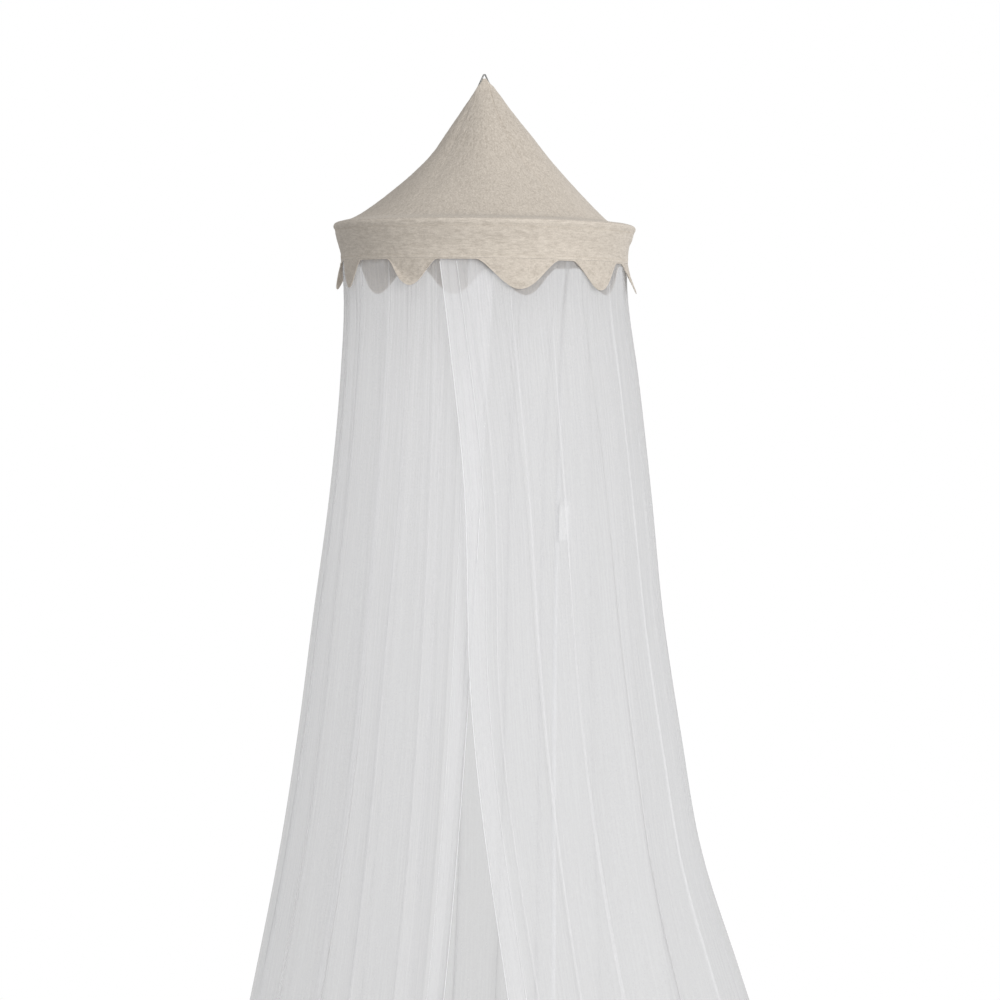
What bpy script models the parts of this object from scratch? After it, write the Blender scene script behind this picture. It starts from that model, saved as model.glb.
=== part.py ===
"""Crib canopy on a hoop, at rest, hung from a ceiling hook. Metres, +Z up, the front faces -Y.

A wire ring holds the tip of a pointed gauze roof. The roof runs out over a hoop, where the valance band
is sewn to it. The scalloped border is sewn under the band, and a long net skirt inside them hangs open
at the front.
The origin is where the hook bears, inside the top of the ring. A drop is a distance below it.
Azimuths are in degrees from the front, turning towards +X. The hoop hangs a little lower on its right.
"""

import math

import bpy
import numpy as np

# Cloth, and the space that two sewn pieces keep
GAUZE = 0.0015
NET = 0.0010
GAP = 0.0003

# Hoop
HOOP_RADIUS = 0.2448
HOOP_DROP = 0.2525
HOOP_TILT = 0.0115
TUBE_RADIUS = 0.0045
TUBE_SIDES = 8
ROUND_COLUMNS = 60

# Ring of bent wire, in the plane that faces the front
WIRE_RADIUS = 0.0013
RING_TOP_HALF = 0.0020
RING_BASE_HALF = 0.0096
RING_BASE_DROP = 0.0190
RING_CORNER = 0.0020
WIRE_BEVEL_STEPS = 3

# Roof, from the tip to the hoop: (left radius, left drop, right radius, right drop)
ROOF_PROFILE = (
    (0.0118, 0.0150, 0.0138, 0.0150),
    (0.0190, 0.0300, 0.0245, 0.0300),
    (0.0332, 0.0500, 0.0395, 0.0500),
    (0.0512, 0.0750, 0.0602, 0.0750),
    (0.0692, 0.1000, 0.0818, 0.1000),
    (0.0918, 0.1320, 0.1075, 0.1320),
    (0.1222, 0.1640, 0.1347, 0.1640),
    (0.1585, 0.1950, 0.1635, 0.1965),
    (0.1900, 0.2200, 0.1880, 0.2225),
    (0.2190, 0.2385, 0.2110, 0.2420),
)
TIP_SPREAD = 0.0090
TIP_SPREAD_ENDS = 0.060
TIP_SQUARENESS = 2.2
ROOF_SAG = 0.0035
ROOF_SAGS = 6

# Valance band below the hoop: (left radius, right radius, drop)
BAND_PROFILE = ((0.2468, 0.2462, 0.2665), (0.2427, 0.2402, 0.281), (0.2393, 0.2389, 0.295))
SEAM_RADIUS = 0.2388
SEAM_DROP = 0.309
BORDER_COLUMNS = 120

# Scalloped border below the band's seam
PLAIN_HEM = 0.002
SCALLOP_ROWS = 3
SCALLOP_FULLNESS = 0.78
# Each scallop: (centre azimuth, half width in degrees, drop below the seam, flare at its tip)
SCALLOPS = (
    (13.7, 16.5, 0.048, 0.004),
    (50.5, 14.0, 0.047, 0.005),
    (85, 15.0, 0.049, 0.015),
    (122, 15.0, 0.048, 0.009),
    (163, 14.5, 0.048, 0.005),
    (193.5, 14.5, 0.047, 0.005),
    (230, 15.0, 0.050, 0.007),
    (264, 14.0, 0.046, 0.011),
    (294, 9.5, 0.046, 0.002),
    (331, 11.0, 0.046, 0.005),
)

# Net skirt: half widths of its outline at each drop: (drop, left, right, front, back)
NET_TOP_DROP = 0.296
NET_OUTLINE = (
    (0.315, 0.2369, 0.2369, 0.2369, 0.2369),
    (0.360, 0.2350, 0.2388, 0.2362, 0.2360),
    (0.500, 0.2412, 0.2575, 0.2455, 0.2380),
    (0.700, 0.2610, 0.2805, 0.2625, 0.2485),
    (0.900, 0.2890, 0.3010, 0.2825, 0.2625),
    (1.100, 0.3160, 0.3320, 0.3055, 0.2805),
    (1.300, 0.3485, 0.3680, 0.3355, 0.3025),
    (1.500, 0.3885, 0.4320, 0.3705, 0.3285),
    (1.900, 0.4780, 0.5680, 0.4400, 0.3800),
    (2.300, 0.5850, 0.7200, 0.5200, 0.4400),
)
NET_ROWS = (0.315, 0.345, 0.420, 0.540, 0.730, 0.980, 1.220, 1.480, 1.760, 2.040, 2.300)
HEM_DROP = 2.300
HEM_LIFT = 0.006
HEM_WAVES = 7
COLUMNS_PER_FOLD = 5
FOLD_AT_TOP = 0.10
FOLD_GROWTH = 0.95
# Ridge azimuths at these drops, and the depth at the hem of the trough that follows each ridge.
# The first row is the right panel's front edge and the last is the left panel's, under it.
RIDGE_DROPS = (0.315, 0.65, 0.98, 1.52, 2.30)
RIDGES = (
    (-17, -7.2, -4.2, 6, 15, 0.012),
    (-6, 3.4, 4.8, 14.8, 25, 0.022),
    (8, 15, 18, 25, 36, 0.030),
    (25, 29, 31, 36.7, 47, 0.036),
    (42, 47, 49, 52, 60, 0.030),
    (57, 61, 63, 66, 72, 0.040),
    (71, 74, 76, 79, 84, 0.030),
    (85, 88, 89, 91, 96, 0.042),
    (100, 102, 104, 107, 111, 0.032),
    (116, 118, 121, 125, 130, 0.040),
    (132, 134, 139, 145, 151, 0.026),
    (150, 155, 158, 163, 171, 0.040),
    (167, 170, 172, 176, 183, 0.030),
    (183, 185, 187, 189, 194, 0.042),
    (199, 200, 201, 203, 206, 0.032),
    (215, 216, 217, 218, 220, 0.040),
    (231, 232, 232, 232, 233, 0.034),
    (247, 247, 247, 247, 247, 0.040),
    (262, 262, 261, 261, 260, 0.032),
    (276, 275, 274, 273, 272, 0.038),
    (289, 288, 287, 286, 284, 0.030),
    (302, 301, 301, 299, 296, 0.044),
    (320, 319, 318, 314, 307, 0.022),
    (330, 329, 327, 325, 318, 0.032),
    (341, 341, 340, 337, 328, 0.022),
    (352, 351, 349, 344.5, 334, 0.010),
    (364, 359.5, 355.6, 349.4, 339, 0.0),
)
UNDERLAP = 0.006
UNDERLAP_RIDGES = 4

# Care label, sewn to the inside of the net in the trough after this ridge
LABEL_RIDGE = 10
LABEL_DROP = 0.719
LABEL_WIDTH = 0.018
LABEL_LENGTH = 0.074
LABEL_THICKNESS = 0.0010


def smoothstep(share):
    share = np.clip(share, 0.0, 1.0)
    return share * share * (3 - 2 * share)


def smooth_curve(knots, values, at):
    """A curve through the values, with no corner at the knots (a Hermite spline)."""
    knots = np.asarray(knots, float)
    values = np.asarray(values, float)
    slopes = np.gradient(values, knots)
    i = int(np.clip(np.searchsorted(knots, at) - 1, 0, len(knots) - 2))
    step = knots[i + 1] - knots[i]
    u = (np.clip(at, knots[0], knots[-1]) - knots[i]) / step
    start = (1 + 2 * u) * (1 - u) ** 2 * values[i] + u * (1 - u) ** 2 * step * slopes[i]
    end = u * u * (3 - 2 * u) * values[i + 1] + u * u * (u - 1) * step * slopes[i + 1]
    return float(start + end)


def on_circle(azimuth, radius, drop, tilt=0.0):
    angle = math.radians(azimuth)
    across = radius * math.sin(angle)
    return (across, -radius * math.cos(angle), -drop - tilt * across)


def paint(name, colour, roughness, metallic=0.0, alpha=1.0):
    material = bpy.data.materials.new(name)
    material.use_nodes = True
    shader = material.node_tree.nodes["Principled BSDF"]
    shader.inputs["Base Color"].default_value = (*colour, 1.0)
    shader.inputs["Roughness"].default_value = roughness
    shader.inputs["Metallic"].default_value = metallic
    shader.inputs["Alpha"].default_value = alpha
    return material


def cloth_sheet(name, rows, closed, thickness, material):
    """A sheet from rows of points, top row first, each running round from the front.

    The points are its outer face, and it has its thickness inside them.
    """
    columns = len(rows[0])
    last = columns if closed else columns - 1
    faces = []
    for row in range(len(rows) - 1):
        for column in range(last):
            after = (column + 1) % columns
            upper, lower = row * columns, (row + 1) * columns
            faces.append((upper + column, lower + column, lower + after, upper + after))
    mesh = bpy.data.meshes.new(name)
    mesh.from_pydata([point for row in rows for point in row], [], faces)
    mesh.materials.append(material)
    mesh.shade_smooth()
    sheet = bpy.data.objects.new(name, mesh)
    bpy.context.scene.collection.objects.link(sheet)
    solidify = sheet.modifiers.new("Thickness", "SOLIDIFY")
    solidify.thickness = thickness
    solidify.offset = -1
    solidify.use_even_offset = True
    return sheet


def make_ring(material):
    """A triangle of wire with round corners: its top bears on the hook, its base is in the roof's tip."""
    points = []
    for step in range(7):
        angle = math.radians(20 + 140 * step / 6)
        points.append(
            (RING_TOP_HALF * math.cos(angle), WIRE_RADIUS - RING_TOP_HALF * (1 - math.sin(angle)))
        )
    for side in (-1, 1):
        centre = (side * (RING_BASE_HALF - RING_CORNER), -RING_BASE_DROP + RING_CORNER)
        for step in range(6):
            turn = 170 + 100 * step / 5
            angle = math.radians(turn if side < 0 else 270 + turn - 170)
            points.append(
                (centre[0] + RING_CORNER * math.cos(angle), centre[1] + RING_CORNER * math.sin(angle))
            )
    curve = bpy.data.curves.new("hanging_ring", "CURVE")
    curve.dimensions = "3D"
    curve.bevel_depth = WIRE_RADIUS
    curve.bevel_resolution = WIRE_BEVEL_STEPS
    spline = curve.splines.new("POLY")
    spline.points.add(len(points) - 1)
    for target, (x, z) in zip(spline.points, points):
        target.co = (x, 0.0, z, 1.0)
    spline.use_cyclic_u = True
    curve.materials.append(material)
    ring = bpy.data.objects.new("hanging_ring", curve)
    bpy.context.scene.collection.objects.link(ring)


def make_hoop(material):
    mesh = bpy.data.meshes.new("hoop")
    points = []
    for column in range(ROUND_COLUMNS):
        azimuth = 360 * column / ROUND_COLUMNS
        for side in range(TUBE_SIDES):
            turn = 2 * math.pi * side / TUBE_SIDES
            radius = HOOP_RADIUS + TUBE_RADIUS * math.cos(turn)
            drop = HOOP_DROP - TUBE_RADIUS * math.sin(turn)
            points.append(on_circle(azimuth, radius, drop, HOOP_TILT))
    faces = []
    for column in range(ROUND_COLUMNS):
        here, there = column * TUBE_SIDES, (column + 1) % ROUND_COLUMNS * TUBE_SIDES
        for side in range(TUBE_SIDES):
            above = (side + 1) % TUBE_SIDES
            faces.append((here + side, there + side, there + above, here + above))
    mesh.from_pydata(points, [], faces)
    mesh.materials.append(material)
    mesh.shade_smooth()
    hoop = bpy.data.objects.new("hoop", mesh)
    bpy.context.scene.collection.objects.link(hoop)


def over_hoop(turn):
    """(radius, drop) of the cloth's outer face on the hoop's tube, turn degrees above its outer side."""
    reach = TUBE_RADIUS + GAP + GAUZE
    angle = math.radians(turn)
    return HOOP_RADIUS + reach * math.cos(angle), HOOP_DROP - reach * math.sin(angle)


def seam_turns():
    """Where the roof ends and the band starts on the hoop's tube: their outer faces are two gaps apart,
    which leaves one gap between the inner faces of the two folded-back edges.
    """
    half = math.degrees(GAP / (TUBE_RADIUS + GAP + GAUZE))
    return 45 + half, 45 - half


def roof_point(azimuth, row):
    left_radius, left_drop, right_radius, right_drop = ROOF_PROFILE[row]
    angle = math.radians(azimuth)
    to_right = 0.5 + 0.5 * math.sin(angle)
    radius = left_radius + (right_radius - left_radius) * to_right
    drop = left_drop + (right_drop - left_drop) * to_right
    share = row / len(ROOF_PROFILE)
    radius -= ROOF_SAG * math.sin(math.pi * share) ** 2 * (0.5 - 0.5 * math.cos(ROOF_SAGS * angle))
    spread = TIP_SPREAD * (1 - float(smoothstep((drop - ROOF_PROFILE[0][1]) / TIP_SPREAD_ENDS)))
    along = math.tanh(TIP_SQUARENESS * math.sin(angle)) / math.tanh(TIP_SQUARENESS)
    depth = radius - spread
    across = depth * math.sin(angle) + spread * along
    tilt = HOOP_TILT * float(smoothstep(drop / HOOP_DROP))
    return (across, -depth * math.cos(angle), -drop - tilt * across)


def make_roof(material):
    azimuths = [360 * column / ROUND_COLUMNS for column in range(ROUND_COLUMNS)]
    rows = [[roof_point(azimuth, row) for azimuth in azimuths] for row in range(len(ROOF_PROFILE))]
    for turn in (70, 57, seam_turns()[0]):
        rows.append([on_circle(azimuth, *over_hoop(turn), HOOP_TILT) for azimuth in azimuths])
    cloth_sheet("roof", rows, True, GAUZE, material)


def scallop(azimuth):
    """(drop below the seam, flare) of the border's lower edge."""
    drop, flare = PLAIN_HEM, 0.0
    for centre, half_width, deepest, outward in SCALLOPS:
        off = abs((azimuth - centre + 180) % 360 - 180) / half_width
        if off < 1:
            share = (0.5 + 0.5 * math.cos(math.pi * off)) ** SCALLOP_FULLNESS
            drop = max(drop, PLAIN_HEM + (deepest - PLAIN_HEM) * share)
            flare = max(flare, outward * share)
    return drop, flare


def make_band(material):
    azimuths = [360 * column / ROUND_COLUMNS for column in range(ROUND_COLUMNS)]
    round_hoop = [over_hoop(turn) for turn in (seam_turns()[1], 33, 0, -45)]
    levels = [(radius, radius, drop) for radius, drop in round_hoop]
    levels += [*BAND_PROFILE, (SEAM_RADIUS, SEAM_RADIUS, SEAM_DROP - GAP / 2)]
    rows = []
    for left, right, drop in levels:
        row = []
        for azimuth in azimuths:
            to_right = 0.5 + 0.5 * math.sin(math.radians(azimuth))
            row.append(on_circle(azimuth, left + (right - left) * to_right, drop, HOOP_TILT))
        rows.append(row)
    cloth_sheet("valance_band", rows, True, GAUZE, material)


def make_border(material):
    rows = []
    for step in range(SCALLOP_ROWS + 1):
        share = step / SCALLOP_ROWS
        row = []
        for column in range(BORDER_COLUMNS):
            azimuth = 360 * column / BORDER_COLUMNS
            drop, flare = scallop(azimuth)
            below = GAP / 2 + (drop - GAP / 2) * share
            radius = SEAM_RADIUS + flare * share**1.5
            row.append(on_circle(azimuth, radius, SEAM_DROP + below, HOOP_TILT))
        rows.append(row)
    cloth_sheet("scallop_border", rows, True, GAUZE, material)


def outline_radius(azimuth, drop):
    """The net's outline in plan is four quarter ellipses, one for each pair of half widths."""
    table = np.array(NET_OUTLINE)
    left, right, front, back = (smooth_curve(table[:, 0], table[:, k], drop) for k in range(1, 5))
    angle = math.radians(azimuth)
    across = math.sin(angle) / (right if math.sin(angle) > 0 else left)
    along = math.cos(angle) / (front if math.cos(angle) > 0 else back)
    return 1 / math.hypot(across, along)


def net_point(column, drop):
    """A point of the net's outer face: ridges lie on the outline, and troughs go in from it."""
    ridge = min(column // COLUMNS_PER_FOLD, len(RIDGES) - 2)
    share = column / COLUMNS_PER_FOLD - ridge
    before = smooth_curve(RIDGE_DROPS, RIDGES[ridge][:5], drop)
    after = smooth_curve(RIDGE_DROPS, RIDGES[ridge + 1][:5], drop)
    azimuth = before + (after - before) * share
    down = float(np.clip((drop - SEAM_DROP) / (HEM_DROP - SEAM_DROP), 0, 1))
    growth = (FOLD_AT_TOP + (1 - FOLD_AT_TOP) * down**FOLD_GROWTH) * float(smoothstep(down / 0.04))
    trough = RIDGES[ridge][5] * growth * (0.5 - 0.5 * math.cos(2 * math.pi * share))
    from_edge = (len(RIDGES) - 1 - column / COLUMNS_PER_FOLD) / UNDERLAP_RIDGES
    under = UNDERLAP * (1 - float(smoothstep(from_edge)))
    return azimuth, outline_radius(azimuth, drop) - trough - under


def make_net(material):
    columns = (len(RIDGES) - 1) * COLUMNS_PER_FOLD + 1
    rows = []
    for drop in (NET_TOP_DROP, *NET_ROWS):
        row = []
        for column in range(columns):
            azimuth, radius = net_point(column, drop)
            lift = 0.0
            if drop == HEM_DROP:
                lift = HEM_LIFT * (0.5 + 0.5 * math.sin(2 * math.pi * HEM_WAVES * column / columns))
            row.append(on_circle(azimuth, radius, drop - lift))
        rows.append(row)
    cloth_sheet("net_skirt", rows, False, NET, material)


def make_label(material):
    """A narrow tape label, flat against the inner face of its trough."""
    left_column = LABEL_RIDGE * COLUMNS_PER_FOLD + COLUMNS_PER_FOLD // 2
    corners = []
    for drop in (LABEL_DROP, LABEL_DROP + LABEL_LENGTH):
        for column in (left_column, left_column + 1):
            azimuth, radius = net_point(column, drop)
            corners.append(np.array(on_circle(azimuth, radius, drop)))
    middle = sum(corners) / 4
    across = (corners[1] - corners[0]) / np.linalg.norm(corners[1] - corners[0])
    down = (corners[2] + corners[3] - corners[0] - corners[1]) / 2
    down /= np.linalg.norm(down)
    inward = np.cross(across, down)
    across = np.cross(down, inward)
    start = middle + inward * (NET + GAP)
    points = []
    for deep in (0.0, LABEL_THICKNESS):
        for x, z in ((-1, -1), (1, -1), (1, 1), (-1, 1)):
            points.append(
                tuple(start + inward * deep + across * x * LABEL_WIDTH / 2 + down * z * LABEL_LENGTH / 2)
            )
    faces = [(3, 2, 1, 0), (4, 5, 6, 7), (1, 5, 4, 0), (2, 6, 5, 1), (3, 7, 6, 2), (0, 4, 7, 3)]
    mesh = bpy.data.meshes.new("care_label")
    mesh.from_pydata(points, [], faces)
    mesh.materials.append(material)
    label = bpy.data.objects.new("care_label", mesh)
    bpy.context.scene.collection.objects.link(label)


def main():
    for thing in list(bpy.data.objects):
        bpy.data.objects.remove(thing)
    gauze = paint("beige_gauze", (0.60, 0.53, 0.44), 0.95)
    make_ring(paint("ring_steel", (0.55, 0.55, 0.54), 0.35, metallic=1.0))
    make_hoop(paint("hoop_tube", (0.75, 0.74, 0.71), 0.5))
    make_roof(gauze)
    make_band(gauze)
    make_border(gauze)
    make_net(paint("white_net", (0.86, 0.86, 0.86), 0.9, alpha=0.5))
    make_label(paint("label_tape", (0.90, 0.90, 0.90), 0.8))


main()
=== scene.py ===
"""Crib canopy on a hoop: its looks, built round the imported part. Metres, +Z up, the front faces -Y."""

import math

import bpy
import numpy as np
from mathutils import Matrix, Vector, noise


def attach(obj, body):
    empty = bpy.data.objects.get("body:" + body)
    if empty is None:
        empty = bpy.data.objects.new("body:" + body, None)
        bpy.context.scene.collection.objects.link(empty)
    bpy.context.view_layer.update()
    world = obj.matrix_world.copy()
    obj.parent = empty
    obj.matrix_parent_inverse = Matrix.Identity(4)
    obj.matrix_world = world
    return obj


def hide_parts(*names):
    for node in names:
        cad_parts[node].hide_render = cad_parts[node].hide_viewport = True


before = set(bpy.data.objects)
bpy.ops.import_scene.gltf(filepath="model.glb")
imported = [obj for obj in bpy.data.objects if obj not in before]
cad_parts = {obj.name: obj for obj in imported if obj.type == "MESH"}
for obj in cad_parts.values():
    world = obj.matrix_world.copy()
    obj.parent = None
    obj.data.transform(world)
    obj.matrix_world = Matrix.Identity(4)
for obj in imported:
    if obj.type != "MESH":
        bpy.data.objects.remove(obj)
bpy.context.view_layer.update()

# Hanging ring
# A triangle of bent steel wire with round corners. The ceiling hook bears inside its top, and its base
# lies in the roof's tip, which holds it.
WIRE_RADIUS = 0.0013
RING_TOP_HALF = 0.0020
RING_BASE_HALF = 0.0096
RING_BASE_DROP = 0.0190
RING_CORNER = 0.0020
# Its arcs in degrees: where the top's begins and how far it runs, then each base corner's (side, beginning)
RING_TOP_FROM = 20
RING_TOP_TURN = 140
RING_CORNERS = ((-1, 170), (1, 270))
RING_CORNER_TURN = 100
RING_TOP_STEPS = 24
RING_CORNER_STEPS = 16
WIRE_DARK = (0.20, 0.20, 0.19)
WIRE_LIGHT = (0.34, 0.34, 0.33)


def new_material(name, colour, roughness, **sockets):
    """(material, its node tree, its shader) with constant values on the shader's own sockets."""
    material = bpy.data.materials.new(name)
    material.use_nodes = True
    shader = material.node_tree.nodes["Principled BSDF"]
    shader.inputs["Base Color"].default_value = (*colour, 1.0)
    shader.inputs["Roughness"].default_value = roughness
    for socket, value in sockets.items():
        shader.inputs[socket.replace("_", " ")].default_value = value
    return material, material.node_tree, shader


def noise_node(tree, scale, detail=2.0, stretch=(1.0, 1.0, 1.0)):
    """A noise's value, in cells per metre on Object coordinates, each axis stretched by its own factor."""
    place = tree.nodes.new("ShaderNodeTexCoord")
    turn = tree.nodes.new("ShaderNodeMapping")
    turn.inputs["Scale"].default_value = stretch
    cloud = tree.nodes.new("ShaderNodeTexNoise")
    cloud.inputs["Scale"].default_value = scale
    cloud.inputs["Detail"].default_value = detail
    tree.links.new(place.outputs["Object"], turn.inputs["Vector"])
    tree.links.new(turn.outputs["Vector"], cloud.inputs["Vector"])
    return cloud.outputs["Fac"]


def spread(tree, value, low, high, from_low=0.3, from_high=0.7):
    """The value's middle range spread from low to high."""
    node = tree.nodes.new("ShaderNodeMapRange")
    node.inputs["From Min"].default_value = from_low
    node.inputs["From Max"].default_value = from_high
    node.inputs["To Min"].default_value = low
    node.inputs["To Max"].default_value = high
    tree.links.new(value, node.inputs["Value"])
    return node.outputs["Result"]


def blended(tree, share, dark, light):
    """A colour between two, by a share from 0 to 1."""
    node = tree.nodes.new("ShaderNodeMix")
    node.data_type = "RGBA"
    node.inputs["A"].default_value = (*dark, 1.0)
    node.inputs["B"].default_value = (*light, 1.0)
    for socket in node.inputs:
        if socket.name == "Factor" and socket.type == "VALUE":
            tree.links.new(share, socket)
            break
    return next(output for output in node.outputs if output.type == "RGBA")


def tinted(tree, shader, pattern, dark, light):
    """The shader's colour, from dark to light by the middle range of a pattern."""
    tree.links.new(blended(tree, spread(tree, pattern, 0.0, 1.0), dark, light), shader.inputs["Base Color"])


def bumped(tree, shader, height, distance, strength=1.0, below=None):
    """A bump on the shader's normal, over an earlier bump if there is one. It returns the bump's normal."""
    node = tree.nodes.new("ShaderNodeBump")
    node.inputs["Distance"].default_value = distance
    node.inputs["Strength"].default_value = strength
    tree.links.new(height, node.inputs["Height"])
    if below is not None:
        tree.links.new(below, node.inputs["Normal"])
    tree.links.new(node.outputs["Normal"], shader.inputs["Normal"])
    return node.outputs["Normal"]


def sum_of(tree, first, second, operation="ADD"):
    """Two values added, or joined by another operation. The second may be a plain number."""
    node = tree.nodes.new("ShaderNodeMath")
    node.operation = operation
    tree.links.new(first, node.inputs[0])
    if isinstance(second, (int, float)):
        node.inputs[1].default_value = second
    else:
        tree.links.new(second, node.inputs[1])
    return node.outputs["Value"]


def as_mesh_piece(name, thing):
    """The evaluated object as a plain mesh object with no modifiers, in place of the first."""
    bpy.context.view_layer.update()
    graph = bpy.context.evaluated_depsgraph_get()
    mesh = bpy.data.meshes.new_from_object(thing.evaluated_get(graph))
    mesh.name = name
    bpy.data.objects.remove(thing)
    piece = bpy.data.objects.new(name, mesh)
    bpy.context.scene.collection.objects.link(piece)
    return piece


wire_steel, tree, shader = new_material("wire_steel", (0.28, 0.28, 0.27), 0.45, Metallic=1.0)
drawn = noise_node(tree, 900.0, 2.0, (1.0, 1.0, 0.15))
tree.links.new(spread(tree, drawn, 0.38, 0.54), shader.inputs["Roughness"])
tinted(tree, shader, noise_node(tree, 160.0, 3.0), WIRE_DARK, WIRE_LIGHT)

ring_points = []
for step in range(RING_TOP_STEPS + 1):
    angle = math.radians(RING_TOP_FROM + RING_TOP_TURN * step / RING_TOP_STEPS)
    ring_points.append((RING_TOP_HALF * math.cos(angle), WIRE_RADIUS - RING_TOP_HALF * (1 - math.sin(angle))))
for side, begins in RING_CORNERS:
    for step in range(RING_CORNER_STEPS + 1):
        angle = math.radians(begins + RING_CORNER_TURN * step / RING_CORNER_STEPS)
        across = side * (RING_BASE_HALF - RING_CORNER) + RING_CORNER * math.cos(angle)
        ring_points.append((across, -RING_BASE_DROP + RING_CORNER + RING_CORNER * math.sin(angle)))
ring_line = bpy.data.curves.new("ring_line", "CURVE")
ring_line.dimensions = "3D"
ring_line.bevel_depth = WIRE_RADIUS
ring_line.bevel_resolution = 6
spline = ring_line.splines.new("POLY")
spline.points.add(len(ring_points) - 1)
for target, (x, z) in zip(spline.points, ring_points):
    target.co = (x, 0.0, z, 1.0)
spline.use_cyclic_u = True
ring_curve = bpy.data.objects.new("ring_curve", ring_line)
bpy.context.scene.collection.objects.link(ring_curve)
ring = as_mesh_piece("ring_wire_bent", ring_curve)
ring.data.materials.clear()
ring.data.materials.append(wire_steel)
ring.data.shade_smooth()
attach(ring, "root")
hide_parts("hanging_ring")

# Hoop
# A pale plastic tube bent to a ring, which spreads the roof. It lies in the fold where roof and band
# meet, and shows only from below. It hangs a little lower on its right.
HOOP_RADIUS = 0.2448
HOOP_DROP = 0.2525
HOOP_TILT = 0.0115
TUBE_RADIUS = 0.0045
HOOP_COLUMNS = 240
TUBE_SIDES = 20
TUBE_DARK = (0.70, 0.69, 0.65)
TUBE_LIGHT = (0.78, 0.77, 0.74)


def azimuths_round(count):
    """Azimuths in degrees, evenly all round from the front."""
    return np.arange(count) * 360 / count


def on_circle(azimuth, radius, drop, tilt=0.0):
    """Points from azimuths in degrees from the front, radii and drops, as arrays of one shape."""
    angle = np.radians(azimuth)
    across = radius * np.sin(angle)
    return np.stack([across, -radius * np.cos(angle), -drop - tilt * across], axis=-1)


def cloth_grid(name, grid, closed, material):
    """A mesh from rows of points, top row first, each running round from the front. Its faces look out."""
    rows, columns = grid.shape[:2]
    index = np.arange(rows * columns).reshape(rows, columns)
    after = np.roll(index, -1, axis=1) if closed else index[:, 1:]
    here = index if closed else index[:, :-1]
    quads = np.stack([here[:-1], here[1:], after[1:], after[:-1]], axis=-1).reshape(-1, 4)
    mesh = bpy.data.meshes.new(name)
    mesh.from_pydata(grid.reshape(-1, 3).tolist(), [], quads.tolist())
    mesh.materials.append(material)
    mesh.shade_smooth()
    piece = bpy.data.objects.new(name, mesh)
    bpy.context.scene.collection.objects.link(piece)
    return piece


tube_plastic, tree, shader = new_material("tube_plastic", (0.74, 0.73, 0.70), 0.5)
scuffs = noise_node(tree, 240.0, 4.0)
tree.links.new(spread(tree, scuffs, 0.40, 0.62), shader.inputs["Roughness"])
tinted(tree, shader, noise_node(tree, 40.0, 3.0), TUBE_DARK, TUBE_LIGHT)
bumped(tree, shader, scuffs, 0.00008, 0.6)

hoop_rings = []
for turn in np.radians(azimuths_round(TUBE_SIDES)):
    radius = HOOP_RADIUS + TUBE_RADIUS * math.cos(turn)
    drop = HOOP_DROP + TUBE_RADIUS * math.sin(turn)
    hoop_rings.append(on_circle(azimuths_round(HOOP_COLUMNS), radius, drop, HOOP_TILT))
hoop_grid = np.stack([*hoop_rings, hoop_rings[0]])
hoop = cloth_grid("hoop_tube_round", hoop_grid, True, tube_plastic)
weld = hoop.modifiers.new("Close", "WELD")
weld.merge_threshold = 0.00001
hoop = as_mesh_piece("hoop_tube_round", hoop)
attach(hoop, "root")
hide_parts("hoop")

# Roof
# A pointed cone of crinkled double gauze in beige. Its tip is drawn up through the ring and sewn round its
# base, and its edge is sewn to the band on top of the hoop. The crinkle runs down the cloth.
CLOTH_OVER_TUBE = TUBE_RADIUS + 0.0018
# Down the slope: radius and drop on the left, then on the right
ROOF_PROFILE = (
    (0.0028, 0.0050, 0.0038, 0.0050),
    (0.0060, 0.0115, 0.0080, 0.0115),
    (0.0104, 0.0165, 0.0138, 0.0165),
    (0.0190, 0.0300, 0.0245, 0.0300),
    (0.0332, 0.0500, 0.0395, 0.0500),
    (0.0512, 0.0750, 0.0602, 0.0750),
    (0.0692, 0.1000, 0.0818, 0.1000),
    (0.0918, 0.1320, 0.1075, 0.1320),
    (0.1222, 0.1640, 0.1347, 0.1640),
    (0.1585, 0.1950, 0.1635, 0.1965),
    (0.1900, 0.2200, 0.1880, 0.2225),
    (0.2190, 0.2385, 0.2110, 0.2420),
)
# Where the cloth lies on the tube: degrees above its outer side, as far as the seam with the band
SEAM_TURN = 45.0
BRIM_TURNS = (78, 66, 55, SEAM_TURN)
# The tip is flat over the ring's base: its half width there, where that begins and how far down it fades,
# its share of the radius at most, and how square its ends are
TIP_SPREAD = 0.0090
TIP_DROP = 0.015
TIP_SPREAD_ENDS = 0.060
TIP_FLATNESS = 0.6
TIP_SQUARENESS = 2.2
ROOF_SAG = 0.0035
ROOF_SAGS = 6
ROOF_COLUMNS = 480
ROOF_ROWS = 88
GAUZE_THICKNESS = 0.0010
CUT_EDGE_ANGLE = 55
# The crinkle and the soft buckles: how high they stand, and their cells per metre along each axis
ROOF_CRINKLE = 0.00050
ROOF_CREASE_CELLS = ((150, 150, 18), (230, 230, 36))
ROOF_CREASE_LEVEL = 0.35
ROOF_BUCKLE = 0.0010
ROOF_BUCKLE_CELLS = (13, 13, 6)
# The crinkle fades in below the tip, over this share of the slope, and out on the brim
ROOF_CALM_SHARE = 0.12
BRIM_CALM = 0.55
BRIM_CALM_REACH = 0.008
# Puckers above the brim: how high, how many, and how their spacing wanders
ROOF_PUCKER = 0.0004
ROOF_PUCKERS = (118, 2, 9)
# Soft creases from the tip's pull: (azimuth half-way down, its turn over the whole slope, depth, width)
ROOF_CREASES = ((32.5, 26, 0.0022, 2.4), (-38, 16, 0.0008, 5.5), (158, 16, 0.0014, 5.0))
# The gauze's colours from dark to light, and how sharply the painted shade and darker dye in its crinkle's
# hollows follow the crinkle
GAUZE_DARK = (0.405, 0.355, 0.296)
GAUZE_LIGHT = (0.715, 0.645, 0.560)
GAUZE_HOLLOW_SHADE_AND_DYE = 0.9


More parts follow.
